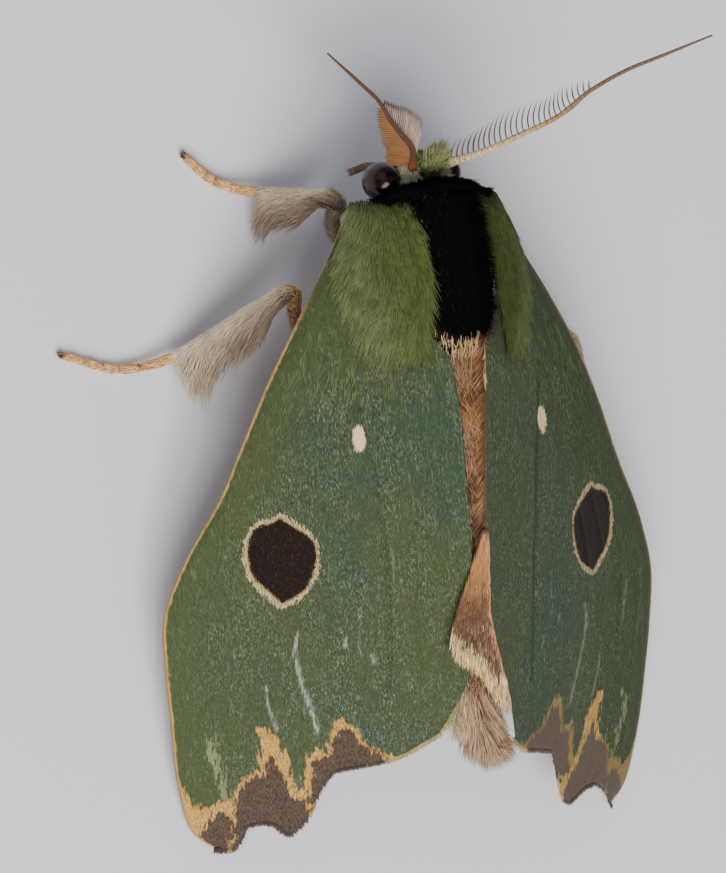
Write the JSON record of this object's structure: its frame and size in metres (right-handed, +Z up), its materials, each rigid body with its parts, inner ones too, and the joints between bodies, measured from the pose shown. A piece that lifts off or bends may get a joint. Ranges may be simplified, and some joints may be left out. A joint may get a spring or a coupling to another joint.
{
  "type": "moth",
  "caption": "Life-size resting moth with roof-like green wings, dark round wing spots, comb-like feelers and tufted legs.",
  "frame": {"origin": "bottom centre of the whole moth's bounding box, on the floor it rests on", "axes": "+Z up from the floor, the head looks toward -Y and the tail lies toward +Y, +X is the moth's own left"},
  "size_m": [0.0224, 0.0278, 0.013],
  "materials": {
    "green_wing": "matte scaled wing, green",
    "hind_wing": "matte scaled wing, grey-tan",
    "shoulder_green": "long green hair-scales",
    "black_fur": "black velvety hair-scales",
    "head_fur": "pale green and cream hair-scales",
    "eye": "glossy black-brown eye",
    "abdomen_fur": "brown, mauve and orange hair-scales",
    "tail_fur": "grey-tan tuft of long hair-scales",
    "comb": "tan shaft with brown comb teeth",
    "palp_fur": "tan hair-scales",
    "femur_fur": "tan hair-scales",
    "tibia_fur": "grey-straw long hair-scales",
    "tarsus": "orange-tan foot"
  },
  "bodies": {
    "root": {"forewing_left": "green_wing", "forewing_right": "green_wing", "hindwing_left": "hind_wing", "hindwing_right": "hind_wing", "tegula_left": "shoulder_green", "tegula_right": "shoulder_green", "thorax": "black_fur", "collar": "black_fur", "head": "head_fur", "eye_left": "eye", "eye_right": "eye", "abdomen": "abdomen_fur", "tail_tuft": "tail_fur", "antenna_left": "comb", "antenna_right": "comb", "palp_left": "palp_fur", "palp_right": "palp_fur", "leg_fore_left_femur": "femur_fur", "leg_fore_right_femur": "femur_fur", "leg_mid_left_femur": "femur_fur", "leg_mid_right_femur": "femur_fur", "leg_hind_left_femur": "femur_fur", "leg_hind_right_femur": "femur_fur", "leg_fore_left_tibia": "tibia_fur", "leg_fore_right_tibia": "tibia_fur", "leg_mid_left_tibia": "tibia_fur", "leg_mid_right_tibia": "tibia_fur", "leg_hind_left_tibia": "tibia_fur", "leg_hind_right_tibia": "tibia_fur", "leg_fore_left_tarsus": "tarsus", "leg_fore_right_tarsus": "tarsus", "leg_mid_left_tarsus": "tarsus", "leg_mid_right_tarsus": "tarsus", "leg_hind_left_tarsus": "tarsus", "leg_hind_right_tarsus": "tarsus"}
  },
  "joints": []
}
